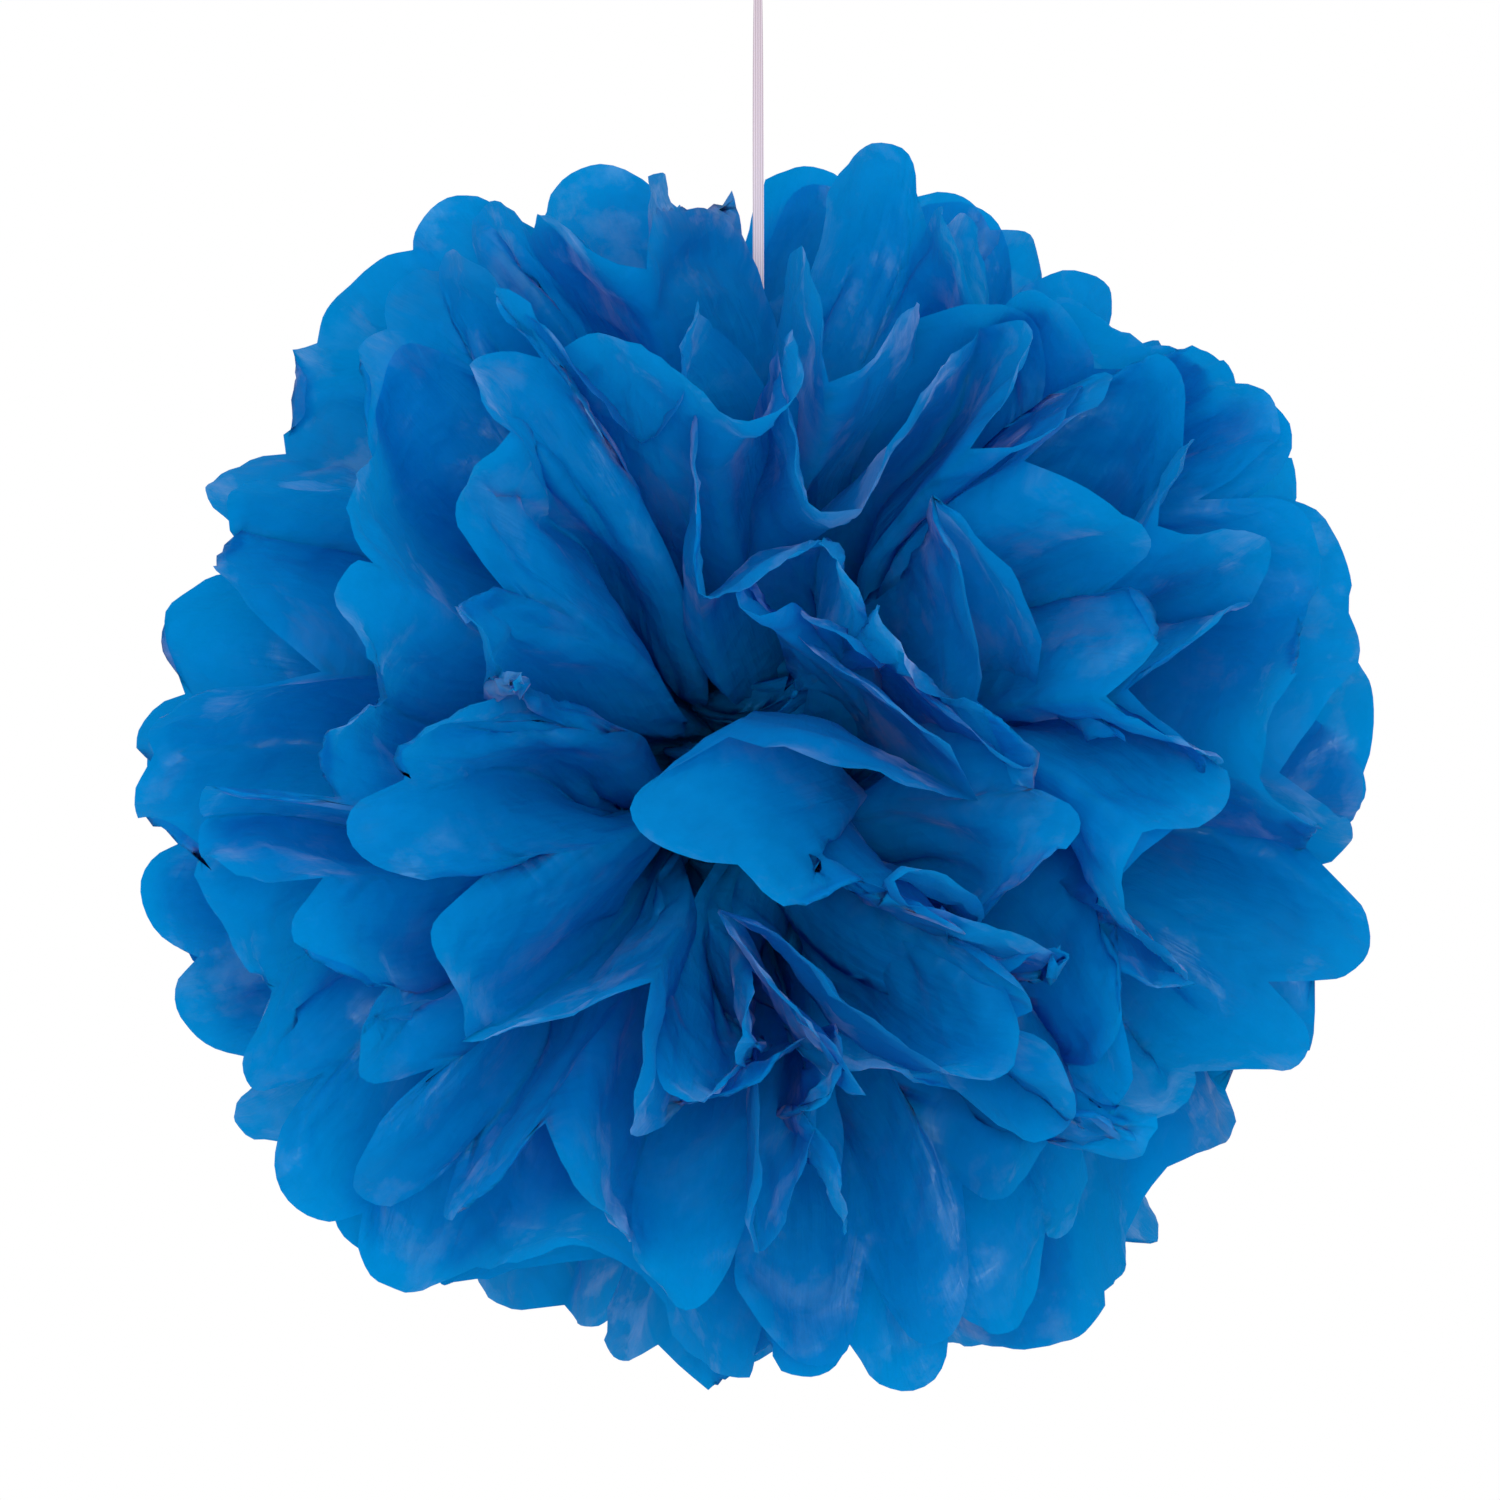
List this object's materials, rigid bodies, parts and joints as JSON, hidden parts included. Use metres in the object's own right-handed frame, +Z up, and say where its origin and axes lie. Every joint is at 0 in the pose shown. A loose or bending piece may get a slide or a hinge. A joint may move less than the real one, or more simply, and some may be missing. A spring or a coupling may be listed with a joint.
{
  "type": "tissue paper pom pom",
  "caption": "Round hanging party decoration: layered sheets of blue tissue pleated, tied at the middle and fluffed into a flower ball on a ribbon with a loop.",
  "frame": {"origin": "inside top of the ribbon's hanging loop, where a hook or pin holds the pom pom", "axes": "+Z up along the hanging ribbon; +X along the tied strip, towards one half-fan of every sheet; the front of the flower ball faces -Y"},
  "size_m": [0.4096, 0.4064, 0.5267],
  "materials": {
    "blue_tissue": "thin dyed tissue, softly glazed by the rolling, with fine crinkles",
    "florist_wire": "soft annealed tie wire",
    "satin_ribbon": "narrow pale satin ribbon"
  },
  "bodies": {
    "root": {"tissue_sheet_01": "blue_tissue", "tissue_sheet_02": "blue_tissue", "tissue_sheet_03": "blue_tissue", "tissue_sheet_04": "blue_tissue", "tissue_sheet_05": "blue_tissue", "tissue_sheet_06": "blue_tissue", "tissue_sheet_07": "blue_tissue", "tissue_sheet_08": "blue_tissue", "tissue_sheet_09": "blue_tissue", "tissue_sheet_10": "blue_tissue", "waist_wire": "florist_wire", "hanging_ribbon": "satin_ribbon"}
  },
  "joints": []
}
